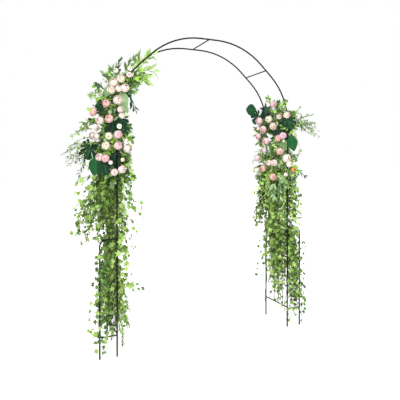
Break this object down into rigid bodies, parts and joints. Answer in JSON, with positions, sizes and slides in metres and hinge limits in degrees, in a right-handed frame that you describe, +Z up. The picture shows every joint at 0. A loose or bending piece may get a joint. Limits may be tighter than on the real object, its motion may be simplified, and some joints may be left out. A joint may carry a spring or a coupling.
{
  "type": "metal trellis arch",
  "caption": "Free-standing tube garden arch: two hoops joined by crossbars, with lattice sides, small front wings, and flower and ivy garlands over both sides.",
  "frame": {"origin": "on the ground, midway between the four hoop legs and under the crown", "axes": "+Z up, +X to the right seen from the front, -Y towards the front hoop, which carries the wings"},
  "size_m": [2.12, 0.64, 2.391],
  "materials": {
    "powder_coat": "satin",
    "black_zinc": "satin",
    "foot_plastic": "matte",
    "blossom": "matte",
    "ivy_leaf": "matte"
  },
  "bodies": {
    "root": {"crown_crossbar": "powder_coat", "crown_screw_front": "black_zinc", "crown_screw_rear": "black_zinc", "front_left_foot_cap": "foot_plastic", "front_left_leg": "powder_coat", "front_left_lower_arch": "powder_coat", "front_left_post": "powder_coat", "front_left_upper_arch": "powder_coat", "front_right_foot_cap": "foot_plastic", "front_right_leg": "powder_coat", "front_right_lower_arch": "powder_coat", "front_right_post": "powder_coat", "front_right_upper_arch": "powder_coat", "left_flower_swag": "blossom", "left_lattice_bar_1": "powder_coat", "left_lattice_bar_2": "powder_coat", "left_lattice_bar_3": "powder_coat", "left_lattice_bar_4": "powder_coat", "left_lattice_bottom_rail": "powder_coat", "left_lattice_top_rail": "powder_coat", "left_lower_ivy": "ivy_leaf", "left_spring_crossbar": "powder_coat", "left_spring_screw_front": "black_zinc", "left_spring_screw_rear": "black_zinc", "left_upper_crossbar": "powder_coat", "left_upper_ivy": "ivy_leaf", "left_upper_screw_front": "black_zinc", "left_upper_screw_rear": "black_zinc", "left_wing_bottom_rail": "powder_coat", "left_wing_foot_cap": "foot_plastic", "left_wing_frame": "powder_coat", "rear_left_foot_cap": "foot_plastic", "rear_left_leg": "powder_coat", "rear_left_lower_arch": "powder_coat", "rear_left_post": "powder_coat", "rear_left_upper_arch": "powder_coat", "rear_right_foot_cap": "foot_plastic", "rear_right_leg": "powder_coat", "rear_right_lower_arch": "powder_coat", "rear_right_post": "powder_coat", "rear_right_upper_arch": "powder_coat", "right_flower_swag": "blossom", "right_lattice_bar_1": "powder_coat", "right_lattice_bar_2": "powder_coat", "right_lattice_bar_3": "powder_coat", "right_lattice_bar_4": "powder_coat", "right_lattice_bottom_rail": "powder_coat", "right_lattice_top_rail": "powder_coat", "right_lower_ivy": "ivy_leaf", "right_spring_crossbar": "powder_coat", "right_spring_screw_front": "black_zinc", "right_spring_screw_rear": "black_zinc", "right_upper_crossbar": "powder_coat", "right_upper_ivy": "ivy_leaf", "right_upper_screw_front": "black_zinc", "right_upper_screw_rear": "black_zinc", "right_wing_bottom_rail": "powder_coat", "right_wing_foot_cap": "foot_plastic", "right_wing_frame": "powder_coat"}
  },
  "joints": []
}
